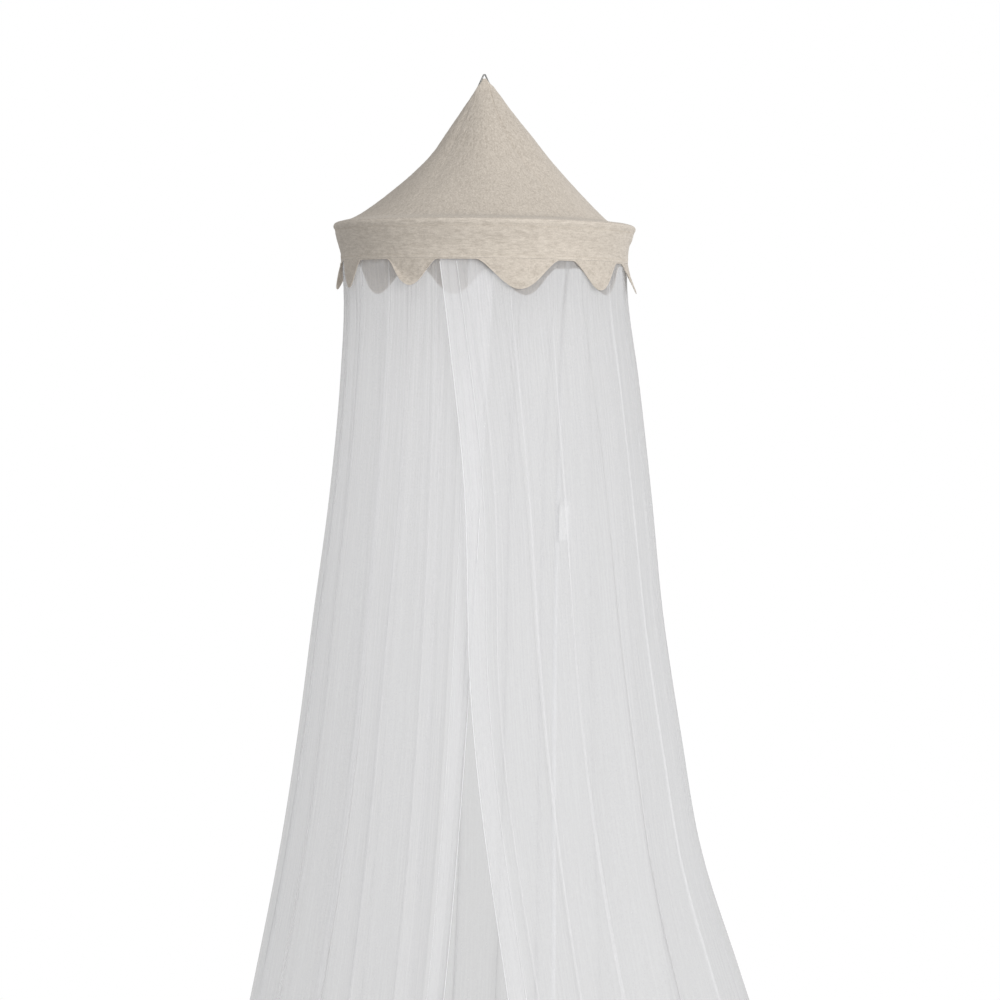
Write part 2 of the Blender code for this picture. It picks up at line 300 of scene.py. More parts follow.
def smoothstep(share):
    """0 to 1 over a share from 0 to 1, level at both ends."""
    share = np.clip(share, 0.0, 1.0)
    return share * share * (3 - 2 * share)


def smooth_curve(knots, values, at):
    """A curve through the values, with no corner at the knots (a Hermite spline)."""
    knots, values = np.asarray(knots, float), np.asarray(values, float)
    slopes = np.gradient(values, knots)
    at = np.clip(np.asarray(at, float), knots[0], knots[-1])
    i = np.clip(np.searchsorted(knots, at) - 1, 0, len(knots) - 2)
    step = knots[i + 1] - knots[i]
    u = (at - knots[i]) / step
    start = (1 + 2 * u) * (1 - u) ** 2 * values[i] + u * (1 - u) ** 2 * step * slopes[i]
    end = u * u * (3 - 2 * u) * values[i + 1] + u * u * (u - 1) * step * slopes[i + 1]
    return start + end


def over_hoop(turn):
    """(radius, drop) of the cloth's outer face on the tube, turn degrees above its outer side."""
    angle = math.radians(turn)
    radius = HOOP_RADIUS + CLOTH_OVER_TUBE * math.cos(angle)
    return radius, HOOP_DROP - CLOTH_OVER_TUBE * math.sin(angle)


def lengths_along(points):
    """The distance from the first point to each of them, along them."""
    return np.concatenate([[0], np.cumsum(np.linalg.norm(np.diff(points, axis=0), axis=1))])


def share_to_right(azimuths):
    """0 at the left side, 1 at the right."""
    return 0.5 + 0.5 * np.sin(np.radians(azimuths))


def cloud(points, cells, seed):
    """Smooth noise from about -1 to 1 at each point, with the given cells per metre along each axis."""
    spots = points.reshape(-1, 3) * np.array(cells) + np.array([seed * 7.31, seed * 3.17, seed * 5.73])
    return np.array([noise.noise(spot) for spot in spots.tolist()]).reshape(points.shape[:-1]) * 1.6


def creases(points, layers, seed):
    """Crinkle with sharp ridges, 1 at the highest: the mean of a layer for each set of cells."""
    return sum(1 - 2 * np.abs(cloud(points, cells, seed + k)) for k, cells in enumerate(layers)) / len(layers)


def puckers(azimuths, count, wander, wander_count):
    """Even small folds round a seam, from -1 to 1. Their spacing wanders."""
    angle = np.radians(azimuths)
    return np.sin(angle * count + wander * np.sin(angle * wander_count))[None, :]


def outward(grid, closed):
    """Unit normals of a grid of points, looking out."""
    down = np.gradient(grid, axis=0)
    if closed:
        across = np.roll(grid, -1, axis=1) - np.roll(grid, 1, axis=1)
    else:
        across = np.gradient(grid, axis=1)
    normals = np.cross(down, across)
    return normals / np.maximum(np.linalg.norm(normals, axis=-1, keepdims=True), 1e-9)


def thick_piece(name, piece, thickness):
    """The sheet with its thickness inside its outer face."""
    solidify = piece.modifiers.new("Thickness", "SOLIDIFY")
    solidify.thickness = thickness
    solidify.offset = -1
    piece = as_mesh_piece(name, piece)
    piece.data.shade_smooth()
    piece.data.set_sharp_from_angle(angle=math.radians(CUT_EDGE_ANGLE))
    return piece


def keep_hollow_shade_and_dye(piece, crease, level, contrast, calm):
    """How deep each point lies in the crinkle, from 0 to 1, for the gauze's material to paint its hollows
    darker: painted shade, with some darker dye.
    """
    hollow_shade_and_dye = np.clip(0.5 - contrast * (crease - level), 0, 1) * calm
    attribute = piece.data.attributes.new("hollow_shade_and_dye", "FLOAT", "POINT")
    attribute.data.foreach_set("value", hollow_shade_and_dye.reshape(-1).astype(np.float32))


def gauze_material(name, grain, crinkle, pale):
    """Crinkled beige double gauze. Grain stretches the fine crinkle: a small factor is along the crease.

    Crinkle is the contrast of the painted shade on the fine crinkle, lighter on its ridges and darker between
    them, and pale is how light its middle is.
    """
    material, tree, shader = new_material(name, (0.62, 0.55, 0.46), 0.95, Sheen_Weight=0.08)
    shader.inputs["Sheen Roughness"].default_value = 0.6
    hollow_shade_and_dye = tree.nodes.new("ShaderNodeAttribute")
    hollow_shade_and_dye.attribute_name = "hollow_shade_and_dye"
    fine = noise_node(tree, 380.0, 2.0, grain)
    yarns = noise_node(tree, 760.0, 2.0, tuple(0.4 + 0.6 * g for g in grain))
    patches = noise_node(tree, 9.0, 2.0)
    # Painted shade in the crinkle's hollows, with some darker dye: deeper points are darker
    shade = spread(tree, hollow_shade_and_dye.outputs["Fac"], 0.20, 0.0, 0.0, 1.0)
    # Painted shade on the fine crinkle: lighter where its bump stands up, darker between
    shade = sum_of(tree, shade, spread(tree, fine, pale - crinkle / 2, pale + crinkle / 2, 0.36, 0.64))
    shade = sum_of(tree, shade, spread(tree, patches, 0.0, 0.06))
    shade = sum_of(tree, shade, spread(tree, yarns, 0.0, 0.30, 0.36, 0.64))
    colour = blended(tree, shade, GAUZE_DARK, GAUZE_LIGHT)
    tree.links.new(colour, shader.inputs["Base Color"])
    over_fine = bumped(tree, shader, fine, 0.0009, 0.5)
    bumped(tree, shader, yarns, 0.0004, 0.5, over_fine)
    return material


roof_gauze = gauze_material("roof_gauze", (1.0, 1.0, 0.16), 0.32, 0.17)
roof_azimuths = azimuths_round(ROOF_COLUMNS)
to_right = share_to_right(roof_azimuths)
profile = list(ROOF_PROFILE)
for turn in BRIM_TURNS:
    radius, drop = over_hoop(turn)
    profile.append((radius, drop, radius, drop))
profile = np.array(profile)
slant = lengths_along((profile[:, :2] + profile[:, 2:]) / 2)
edge_slant, brim_slant = slant[len(ROOF_PROFILE) - 2], slant[len(ROOF_PROFILE) - 1]
places = np.linspace(0, slant[-1], ROOF_ROWS)
left_radius, left_drop, right_radius, right_drop = (
    smooth_curve(slant, profile[:, k], places) for k in range(4)
)
radius = left_radius[:, None] + (right_radius - left_radius)[:, None] * to_right
drop = left_drop[:, None] + (right_drop - left_drop)[:, None] * to_right
sag_share = np.minimum(places / brim_slant, 1.0)[:, None]
round_angle = np.radians(roof_azimuths)[None, :]
radius = radius - ROOF_SAG * np.sin(np.pi * sag_share) ** 2 * (0.5 - 0.5 * np.cos(ROOF_SAGS * round_angle))
tip_spread = TIP_SPREAD * (1 - smoothstep((drop - TIP_DROP) / TIP_SPREAD_ENDS))
tip_spread = np.minimum(tip_spread, TIP_FLATNESS * radius)
along = np.tanh(TIP_SQUARENESS * np.sin(round_angle)) / math.tanh(TIP_SQUARENESS)
depth = radius - tip_spread
across = depth * np.sin(round_angle) + tip_spread * along
tilt = HOOP_TILT * smoothstep(drop / HOOP_DROP)
roof_grid = np.stack([across, -depth * np.cos(round_angle), -drop - tilt * across], axis=-1)
roof_normals = outward(roof_grid, True)
crease = creases(roof_grid, ROOF_CREASE_CELLS, 1)
buckle = cloud(roof_grid, ROOF_BUCKLE_CELLS, 3)
calm = smoothstep(sag_share / ROOF_CALM_SHARE)
calm = calm * (1 - BRIM_CALM * smoothstep((places[:, None] - brim_slant) / BRIM_CALM_REACH))
lift = ROOF_CRINKLE * (crease - ROOF_CREASE_LEVEL) * calm + ROOF_BUCKLE * buckle * np.sin(np.pi * sag_share)
for crease_azimuth, turn, crease_depth, crease_width in ROOF_CREASES:
    off = (roof_azimuths[None, :] - crease_azimuth - turn * (sag_share - 0.5) + 180) % 360 - 180
    lift = lift - crease_depth * np.exp(-((off / crease_width) ** 2)) * np.sin(np.pi * sag_share) ** 0.6
near_brim = smoothstep((places[:, None] - edge_slant) / (brim_slant - edge_slant))
lift = lift + ROOF_PUCKER * puckers(roof_azimuths, *ROOF_PUCKERS) * near_brim * calm
roof = cloth_grid("roof_gauze_cone", roof_grid + roof_normals * lift[..., None], True, roof_gauze)
# The roof's crinkle hollows are kept for painted shade, with some darker dye
keep_hollow_shade_and_dye(roof, crease, ROOF_CREASE_LEVEL, GAUZE_HOLLOW_SHADE_AND_DYE, calm)
roof = thick_piece("roof_gauze_cone", roof, GAUZE_THICKNESS)
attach(roof, "root")
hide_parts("roof")

# Valance band
# A strip of the same gauze sewn to the roof on top of the hoop and drawn in below it. Its crinkle
# runs round it, and a row of stitches lies by each seam.
SEAM_RADIUS = 0.2388
SEAM_DROP = 0.309
SEAM_GAP = 0.0003
BAND_OFF_ROOF = 0.0004
# Round the tube, in degrees above its outer side. Below it: radius on the left and on the right, and drop
HOOP_WRAP_TURNS = (SEAM_TURN, 30, 15, 0, -20, -45)
BAND_PROFILE = ((0.2468, 0.2462, 0.2665), (0.2427, 0.2402, 0.281), (0.2393, 0.2389, 0.295))
BAND_COLUMNS = 560
BAND_ROWS = 30
BAND_CRINKLE = 0.00060
BAND_CREASE_CELLS = ((30, 30, 130), (60, 60, 200))
BAND_CREASE_LEVEL = 0.30
BAND_BUCKLE = 0.0011
BAND_BUCKLE_CELLS = (11, 11, 22)
# The crinkle fades out towards the roof's seam and the border's
TOP_CALM = 0.006
LOW_CALM = 0.005
# Puckers by the two seams: how many and how their spacing wanders, how high, how far they reach, and how
# near the seam they fade
BAND_PUCKERS = (96, 3, 7)
TOP_PUCKER = 0.0003
LOW_PUCKER = 0.0005
TOP_PUCKER_REACH = 0.007
LOW_PUCKER_REACH = 0.009
PUCKER_FADE = 0.0015
# The rows of stitches, as distances from the two seams, and the depth and width of the grooves they draw in
TOP_ROW = 0.0125
LOW_ROW = 0.0045
TOP_GROOVE = 0.0003
LOW_GROOVE = 0.0004
GROOVE_WIDTH = 0.0012
STITCH_PITCH = 0.0042
STITCH_LENGTH = 0.0031
THREAD_RADIUS = 0.00032
BEIGE_DARK = (0.52, 0.46, 0.38)
BEIGE_LIGHT = (0.68, 0.61, 0.52)


def stitch_tree():
    """Geometry Nodes: lays a short stitch of thread along each stretch of a line."""
    group = bpy.data.node_groups.new("sewn_row", "GeometryNodeTree")
    group.interface.new_socket("Line", in_out="INPUT", socket_type="NodeSocketGeometry")
    for name in ("Pitch", "Stitch length", "Thread radius"):
        group.interface.new_socket(name, in_out="INPUT", socket_type="NodeSocketFloat")
    group.interface.new_socket("Thread", in_out="INPUT", socket_type="NodeSocketMaterial")
    group.interface.new_socket("Stitches", in_out="OUTPUT", socket_type="NodeSocketGeometry")
    nodes, links = group.nodes, group.links
    given = nodes.new("NodeGroupInput")
    made = nodes.new("NodeGroupOutput")
    line = nodes.new("GeometryNodeMeshToCurve")
    steps = nodes.new("GeometryNodeResampleCurve")
    steps.mode = "LENGTH"
    tangent = nodes.new("GeometryNodeInputTangent")
    aligned = nodes.new("FunctionNodeAlignRotationToVector")
    aligned.axis = "Z"
    stitch = nodes.new("GeometryNodeMeshCylinder")
    stitch.inputs["Vertices"].default_value = 6
    stitch.inputs["Side Segments"].default_value = 1
    laid = nodes.new("GeometryNodeInstanceOnPoints")
    real = nodes.new("GeometryNodeRealizeInstances")
    dyed = nodes.new("GeometryNodeSetMaterial")
    links.new(given.outputs["Line"], line.inputs["Mesh"])
    links.new(line.outputs["Curve"], steps.inputs["Curve"])
    links.new(given.outputs["Pitch"], steps.inputs["Length"])
    links.new(tangent.outputs["Tangent"], aligned.inputs["Vector"])
    links.new(given.outputs["Thread radius"], stitch.inputs["Radius"])
    links.new(given.outputs["Stitch length"], stitch.inputs["Depth"])
    links.new(steps.outputs["Curve"], laid.inputs["Points"])
    links.new(stitch.outputs["Mesh"], laid.inputs["Instance"])
    links.new(aligned.outputs["Rotation"], laid.inputs["Rotation"])
    links.new(laid.outputs["Instances"], real.inputs["Geometry"])
    links.new(real.outputs["Geometry"], dyed.inputs["Geometry"])
    links.new(given.outputs["Thread"], dyed.inputs["Material"])
    links.new(dyed.outputs["Geometry"], made.inputs["Stitches"])
    return group


sewn_row = stitch_tree()


def sew(name, lines, thread, pitch=STITCH_PITCH, length=STITCH_LENGTH, thread_radius=THREAD_RADIUS):
    """A piece of stitches along lines, each (points, closed)."""
    points, edges = [], []
    for line, closed in lines:
        start = len(points)
        points += [tuple(point) for point in line]
        edges += [(start + k, start + k + 1) for k in range(len(line) - 1)]
        if closed:
            edges.append((len(points) - 1, start))
    mesh = bpy.data.meshes.new(name)
    mesh.from_pydata(points, edges, [])
    row = bpy.data.objects.new(name + "_line", mesh)
    bpy.context.scene.collection.objects.link(row)
    modifier = row.modifiers.new("Sewn row", "NODES")
    modifier.node_group = sewn_row
    given = {"Pitch": pitch, "Stitch length": length, "Thread radius": thread_radius, "Thread": thread}
    for item in sewn_row.interface.items_tree:
        if item.name in given:
            modifier[item.identifier] = given[item.name]
    piece = as_mesh_piece(name, row)
    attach(piece, "root")
    return piece


beige_thread, tree, shader = new_material("beige_thread", (0.60, 0.53, 0.44), 0.8)
tinted(tree, shader, noise_node(tree, 900.0, 1.0), BEIGE_DARK, BEIGE_LIGHT)

band_gauze = gauze_material("band_gauze", (0.22, 0.22, 1.25), 0.28, 0.26)
band_azimuths = azimuths_round(BAND_COLUMNS)
band_knots = [(radius, radius, drop) for radius, drop in map(over_hoop, HOOP_WRAP_TURNS)]
band_knots = np.array([*band_knots, *BAND_PROFILE, (SEAM_RADIUS, SEAM_RADIUS, SEAM_DROP - SEAM_GAP / 2)])
band_slant = lengths_along(band_knots[:, ::2])
band_places = np.linspace(BAND_OFF_ROOF, band_slant[-1], BAND_ROWS)
band_left, band_right, band_drop = (
    smooth_curve(band_slant, band_knots[:, k], band_places)[:, None] for k in range(3)
)
band_radius = band_left + (band_right - band_left) * share_to_right(band_azimuths)[None, :]
band_grid = on_circle(band_azimuths[None, :], band_radius, band_drop, HOOP_TILT)
band_normals = outward(band_grid, True)
off_top = band_places[:, None]
off_seam = (band_slant[-1] - band_places)[:, None]
crease = creases(band_grid, BAND_CREASE_CELLS, 4)
calm = smoothstep(off_top / TOP_CALM) * smoothstep(off_seam / LOW_CALM)
lift = BAND_CRINKLE * (crease - BAND_CREASE_LEVEL) * calm
buckle = cloud(band_grid, BAND_BUCKLE_CELLS, 6) * np.sin(np.pi * band_places / band_slant[-1])[:, None]
lift = lift + BAND_BUCKLE * buckle
gather = puckers(band_azimuths, *BAND_PUCKERS)
lift = lift + LOW_PUCKER * gather * np.exp(-off_seam / LOW_PUCKER_REACH) * smoothstep(off_seam / PUCKER_FADE)
lift = lift + TOP_PUCKER * gather * np.exp(-off_top / TOP_PUCKER_REACH) * smoothstep(off_top / PUCKER_FADE)
lift = lift - LOW_GROOVE * np.exp(-(((off_seam - LOW_ROW) / GROOVE_WIDTH) ** 2))
lift = lift - TOP_GROOVE * np.exp(-(((off_top - TOP_ROW) / GROOVE_WIDTH) ** 2))
band_grid = band_grid + band_normals * lift[..., None]
band = cloth_grid("band_gauze_strip", band_grid, True, band_gauze)
# The band's crinkle hollows are kept for painted shade, with some darker dye
keep_hollow_shade_and_dye(band, crease, BAND_CREASE_LEVEL, GAUZE_HOLLOW_SHADE_AND_DYE, calm)
band = thick_piece("band_gauze_strip", band, GAUZE_THICKNESS)
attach(band, "root")
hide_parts("valance_band")


def line_on(grid, places, at):
    """The closed line round a grid at one place down it."""
    below = int(np.clip(np.searchsorted(places, at), 1, len(places) - 1))
    share = (at - places[below - 1]) / (places[below] - places[below - 1])
    return grid[below - 1] * (1 - share) + grid[below] * share


seam_rows = [
    (line_on(band_grid, band_places, TOP_ROW), True),
    (line_on(band_grid, band_places, band_slant[-1] - LOW_ROW), True),
]
band_stitches = sew("band_stitches", seam_rows, beige_thread)

# Scalloped border
# Ten rounded scallops of doubled gauze, cut in one strip, turned out and sewn under the band. They
# hang loose: some stand out from the net, and one has its lower corner curled.
PLAIN_HEM = 0.002
SCALLOP_FULLNESS = 0.78
# Azimuth and half width in degrees, then how deep its middle hangs and how far it stands out there
SCALLOPS = (
    (13.7, 16.5, 0.048, 0.004),
    (50.5, 14.0, 0.047, 0.005),
    (85, 15.0, 0.049, 0.015),
    (122, 15.0, 0.048, 0.009),
    (163, 14.5, 0.048, 0.005),
    (193.5, 14.5, 0.047, 0.005),
    (230, 15.0, 0.050, 0.007),
    (264, 14.0, 0.046, 0.011),
    (294, 9.5, 0.046, 0.002),
    (331, 11.0, 0.046, 0.005),
)
BORDER_COLUMNS = 720
BORDER_ROWS = 20
BORDER_CRINKLE = 0.00050
BORDER_CREASE_CELLS = ((80, 80, 110),)
BORDER_CREASE_LEVEL = 0.3
# How sharply the painted shade and darker dye in the border's crinkle hollows follow the crinkle
BORDER_HOLLOW_SHADE_AND_DYE = 0.8
BORDER_BUCKLE = 0.0009
BORDER_BUCKLE_CELLS = (30, 30, 20)
BORDER_THICKNESS = 0.0013
# The crinkle fades out towards the seam and the turned edge
BORDER_TOP_CALM = 0.004
BORDER_EDGE_CALM = 0.003
# A scallop's sides stand out by this much where it hangs as deep as this
CUPPED = 0.00132
CUPPED_DEPTH = 0.045
# The turned edge: how far the groove along it lies inside it, its width and its depth
EDGE_GROOVE_PLACE = 0.0028
EDGE_GROOVE_WIDTH = 0.0011
EDGE_GROOVE = 0.00035
# The curled corner, and the share of the scallop's length above it
CURL_AZIMUTH = 328.0
CURL_HALF = 4.5
CURL_OUT = 0.0045
CURL_UP = 0.0045
CURL_FROM = 0.60

border_gauze = gauze_material("border_gauze", (0.5, 0.5, 1.0), 0.24, 0.20)
border_azimuths = azimuths_round(BORDER_COLUMNS)
lobe_drop = np.full(BORDER_COLUMNS, PLAIN_HEM)
lobe_flare = np.zeros(BORDER_COLUMNS)
lobe_side = np.zeros(BORDER_COLUMNS)
for centre, half_width, deepest, flare in SCALLOPS:
    off = ((border_azimuths - centre + 180) % 360 - 180) / half_width
    rounded = (0.5 + 0.5 * np.cos(np.pi * np.clip(off, -1, 1))) ** SCALLOP_FULLNESS
    share = np.where(np.abs(off) < 1, rounded, 0)
    this_drop = PLAIN_HEM + (deepest - PLAIN_HEM) * share
    lobe_side = np.where(this_drop > lobe_drop, off, lobe_side)
    lobe_drop = np.maximum(lobe_drop, this_drop)
    lobe_flare = np.maximum(lobe_flare, flare * share)
border_places = (np.arange(BORDER_ROWS) / (BORDER_ROWS - 1))[:, None]
below = SEAM_GAP / 2 + (lobe_drop[None, :] - SEAM_GAP / 2) * border_places
cupped = CUPPED * (np.abs(lobe_side) ** 2)[None, :] * border_places**2 * (lobe_drop[None, :] / CUPPED_DEPTH)
border_radius = SEAM_RADIUS + lobe_flare[None, :] * border_places**1.5 + cupped
curl = np.exp(-(((border_azimuths - CURL_AZIMUTH) / CURL_HALF) ** 2))[None, :]
curl = curl * smoothstep((border_places - CURL_FROM) / (1 - CURL_FROM))
border_radius = border_radius + CURL_OUT * curl
border_drop = SEAM_DROP + below - CURL_UP * curl
border_grid = on_circle(border_azimuths[None, :], border_radius, border_drop, HOOP_TILT)
border_normals = outward(border_grid, True)
crease = creases(border_grid, BORDER_CREASE_CELLS, 7)
off_edge = lobe_drop[None, :] - below
off_seam = smoothstep(below / BORDER_TOP_CALM)
calm = off_seam * smoothstep(off_edge / BORDER_EDGE_CALM)
groove = np.exp(-((off_edge - EDGE_GROOVE_PLACE) / EDGE_GROOVE_WIDTH) ** 2) * off_seam
lift = BORDER_CRINKLE * (crease - BORDER_CREASE_LEVEL) * calm - EDGE_GROOVE * groove
lift = lift + BORDER_BUCKLE * calm * cloud(border_grid, BORDER_BUCKLE_CELLS, 8)
border_grid = border_grid + border_normals * lift[..., None]
border = cloth_grid("border_gauze_scallops", border_grid, True, border_gauze)
# The border's crinkle hollows are kept for painted shade, with some darker dye
keep_hollow_shade_and_dye(border, crease, BORDER_CREASE_LEVEL, BORDER_HOLLOW_SHADE_AND_DYE, calm)
border = thick_piece("border_gauze_scallops", border, BORDER_THICKNESS)
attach(border, "root")
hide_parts("scallop_border")

# Net skirt
# One wide width of fine white net, gathered at its top inside the band. It runs from the right panel's
# front edge round the back to the left panel's edge, which lies under the right one at the top. Both
# front edges and the hem are turned in and sewn, and a seam joins two widths right of the back's middle.
NET_TOP_DROP = 0.296
HEM_DROP = 2.300
# Drop, then the half widths in plan: to the left, to the right, to the front and to the back
NET_OUTLINE = (
    (0.315, 0.2369, 0.2369, 0.2369, 0.2369),
    (0.360, 0.2350, 0.2388, 0.2362, 0.2360),
    (0.500, 0.2412, 0.2575, 0.2455, 0.2380),
    (0.700, 0.2610, 0.2805, 0.2625, 0.2485),
    (0.900, 0.2890, 0.3010, 0.2825, 0.2625),
    (1.100, 0.3160, 0.3320, 0.3055, 0.2805),
    (1.300, 0.3485, 0.3680, 0.3355, 0.3025),
    (1.500, 0.3885, 0.4320, 0.3705, 0.3285),
    (1.900, 0.4780, 0.5680, 0.4400, 0.3800),
    (2.300, 0.5850, 0.7200, 0.5200, 0.4400),
)
# The hem rises and falls by this much, and the cloth above it by less, up to the reach
HEM_LIFT = 0.006
HEM_WAVES = 7
HEM_LIFT_REACH = 0.30
# The folds' depth under the band as a share of the hem's, how it grows, and where they begin down the net
FOLD_AT_TOP = 0.10
FOLD_GROWTH = 0.95
FOLDS_BEGIN = 0.04
RIDGE_DROPS = (0.315, 0.65, 0.98, 1.52, 2.30)
# Ridge azimuths at these drops, the depth at the hem of the trough that follows each ridge, and how far
# the cloth folds over itself at the ridge: 1 stands it upright, and more laps it
RIDGES = (
    (-17, -7.2, -4.2, 7.2, 16.2, 0.012, 0.2),
    (-6, 3.4, 4.8, 14.8, 25, 0.022, 1.2),
    (8, 15, 18, 25, 36, 0.030, 0.6),
    (25, 29, 31, 36.7, 47, 0.036, 1.1),
    (42, 47, 49, 52, 60, 0.030, 0.7),
    (57, 61, 63, 66, 72, 0.030, 0.7),
    (71, 74, 76, 79, 84, 0.022, 0.3),
    (85, 88, 89, 91, 96, 0.030, 0.3),
    (100, 102, 104, 107, 111, 0.026, 0.3),
    (116, 118, 121, 125, 130, 0.040, 1.1),
    (132, 134, 139, 145, 151, 0.026, 0.5),
    (150, 155, 158, 163, 171, 0.040, 1.1),
    (167, 170, 172, 176, 183, 0.030, 0.8),
    (183, 185, 187, 189, 194, 0.042, 1.2),
    (199, 200, 201, 203, 206, 0.032, 0.9),
    (215, 216, 217, 218, 220, 0.040, 1.1),
    (231, 232, 232, 232, 233, 0.034, 0.8),
    (247, 247, 247, 247, 247, 0.040, 0.6),
    (262, 262, 261, 261, 260, 0.026, 0.3),
    (276, 275, 274, 273, 272, 0.028, 0.3),
    (289, 288, 287, 286, 284, 0.022, 0.4),
    (302, 301, 301, 299, 296, 0.034, 0.9),
    (320, 319, 318, 314, 307, 0.022, 1.5),
    (330, 329, 327, 325, 318, 0.032, 1.4),
    (341, 341, 340, 337, 328, 0.022, 1.2),
    (352, 351, 349, 344.5, 334, 0.010, 0.4),
    (364, 359.5, 355.6, 349.4, 339, 0.0, 0.2),
)
# The left panel lies inside the right one by this much at its edge, and less over this many ridges
UNDERLAP = 0.006
UNDERLAP_RIDGES = 4
NET_COLUMNS_PER_FOLD = 36
# Rows lie a little closer towards the hem
NET_ROWS = 98
ROW_CROWDING = 0.92
# The front edges' hems, in ridges, with a sliver left open at the fold
TURNED_COLUMNS = 16
RIGHT_EDGE_HEM = 0.60
LEFT_EDGE_HEM = 0.85
FOLD_SLIVER = 0.04
TURNED_ROWS = 2
HEM_DEPTH = 0.028
TURNED_UNDER = 0.0010
# Shading: the small folds' part, how the skirt's form faces front more than sideways, how it looks up, and
# the part of the net's shade that falls on what is behind it
FOLD_SHADE = 0.25
FACING_FRONT = 2.6
FORM_SLOPE = 0.22
SHADOW_SHARE = 0.30
# Its density, as alpha: the range of its yarns' streaks, and what its meshes add from wall to middle
YARN_ALPHA = (0.31, 0.35)
MESH_ALPHA = (0.04, -0.025)
NET_DARK = (0.755, 0.75, 0.755)
NET_LIGHT = (0.785, 0.78, 0.785)
# Gathers in the whole width, the part of each that runs on to the hem, how far they lap, and how far from
# the front edges they fade, in ridges
GATHERS = 104
GATHER_KEPT = 0.25
GATHER_LAP = 1.1
EDGE_CALM = 0.35
# Each gather's width and size and how far down it reaches, and how each fold leans, vary over these ranges
GATHER_SEED = 41
GATHER_WIDTHS = (0.55, 1.45)
GATHER_SIZES = (0.55, 1.15)
GATHER_REACHES = (0.25, 2.4)
FOLD_LEANS = (-1.1, 1.1)
# How far the large folds lap over themselves, and how deep the gathers are: (drop, lap, depth)
FULLNESS = (
    (0.296, 0.3, 0.0030),
    (0.450, 0.8, 0.0030),
    (0.700, 1.1, 0.0026),
    (1.100, 1.3, 0.0022),
    (1.520, 1.3, 0.0018),
    (1.900, 1.2, 0.0014),
    (2.300, 0.9, 0.0010),
)
# The net is cut in gores that widen downwards: its width at the hem, and its length from its top to the hem
NET_WIDTH = 3.75
NET_LENGTH = HEM_DROP - NET_TOP_DROP

ridge_table = np.array(RIDGES)
last_ridge = len(RIDGES) - 1
fullness = np.array(FULLNESS)
gather_rng = np.random.default_rng(GATHER_SEED)
gather_widths = gather_rng.uniform(*GATHER_WIDTHS, GATHERS)
gather_ends = np.concatenate([[0], np.cumsum(gather_widths)]) / gather_widths.sum() * last_ridge
gather_size = gather_rng.uniform(*GATHER_SIZES, GATHERS + 1)
gather_reach = gather_rng.uniform(*GATHER_REACHES, GATHERS + 1)
fold_lean = gather_rng.uniform(*FOLD_LEANS, last_ridge + 1)


def outline_radius(azimuth, drop):
    """The net's outline in plan is four quarter ellipses, one for each pair of half widths."""
    table = np.array(NET_OUTLINE)
    left, right, front, back = (smooth_curve(table[:, 0], table[:, k], drop) for k in range(1, 5))
    angle = np.radians(azimuth)
    across = np.sin(angle) / np.where(np.sin(angle) > 0, right, left)
    along = np.cos(angle) / np.where(np.cos(angle) > 0, front, back)
    return 1 / np.hypot(across, along)


def net_surface(place, drop, inside=0.0):
    """Points of the net: place counts ridges along the cloth, drop is a distance below the hook."""
    ridge = np.clip(np.floor(place).astype(int), 0, last_ridge - 1)
    share = place - ridge
    rows = np.stack([smooth_curve(RIDGE_DROPS, azimuths, drop) for azimuths in ridge_table[:, :5]], axis=-1)
    before = np.take_along_axis(rows, ridge[..., None], -1)[..., 0]
    after = np.take_along_axis(rows, ridge[..., None] + 1, -1)[..., 0]
    down = np.clip((drop - SEAM_DROP) / (HEM_DROP - SEAM_DROP), 0, 1)
    growth = (FOLD_AT_TOP + (1 - FOLD_AT_TOP) * down**FOLD_GROWTH) * smoothstep(down / FOLDS_BEGIN)
    lap = ridge_table[ridge, 6] * (1 - share) + ridge_table[ridge + 1, 6] * share
    lap = lap * smooth_curve(fullness[:, 0], fullness[:, 1], drop)
    lean = fold_lean[ridge] * (1 - share) + fold_lean[ridge + 1] * share
    back = np.sin(2 * np.pi * share + lean) - np.sin(lean)
    azimuth = before + (after - before) * (share - lap * back / (2 * np.pi))
    trough = ridge_table[ridge, 5] * growth * (0.5 - 0.5 * np.cos(2 * np.pi * share))
    gather = np.clip(np.searchsorted(gather_ends, place, side="right") - 1, 0, GATHERS - 1)
    turn = (place - gather_ends[gather]) / (gather_ends[gather + 1] - gather_ends[gather])
    fade = [1 - smoothstep((drop - SEAM_DROP) / gather_reach[gather + k]) for k in (0, 1)]
    kept = [GATHER_KEPT + (1 - GATHER_KEPT) * each for each in fade]
    size = gather_size[gather] * kept[0] * (1 - turn) + gather_size[gather + 1] * kept[1] * turn
    to_edge = np.minimum(place, last_ridge - place)
    size = size * smoothstep(to_edge / EDGE_CALM)
    fold = 0.5 - 0.5 * np.cos(2 * np.pi * turn)
    width = (gather_ends[gather + 1] - gather_ends[gather]) * (after - before)
    azimuth = azimuth - GATHER_LAP * size * width * np.sin(2 * np.pi * turn) / (2 * np.pi)
    gather_depth = smooth_curve(fullness[:, 0], fullness[:, 2], drop)
    under = UNDERLAP * (1 - smoothstep((last_ridge - place) / UNDERLAP_RIDGES))
    radius = outline_radius(azimuth, drop) - trough - gather_depth * size * fold - under - inside
    return on_circle(azimuth, radius, drop)


def hem_lift(place, drop):
    """How far the net is lifted there by the hem's rise and fall."""
    wave = 0.5 + 0.5 * np.sin(2 * np.pi * HEM_WAVES * place / last_ridge)
    return HEM_LIFT * wave * smoothstep((drop - HEM_DROP + HEM_LIFT_REACH) / HEM_LIFT_REACH)


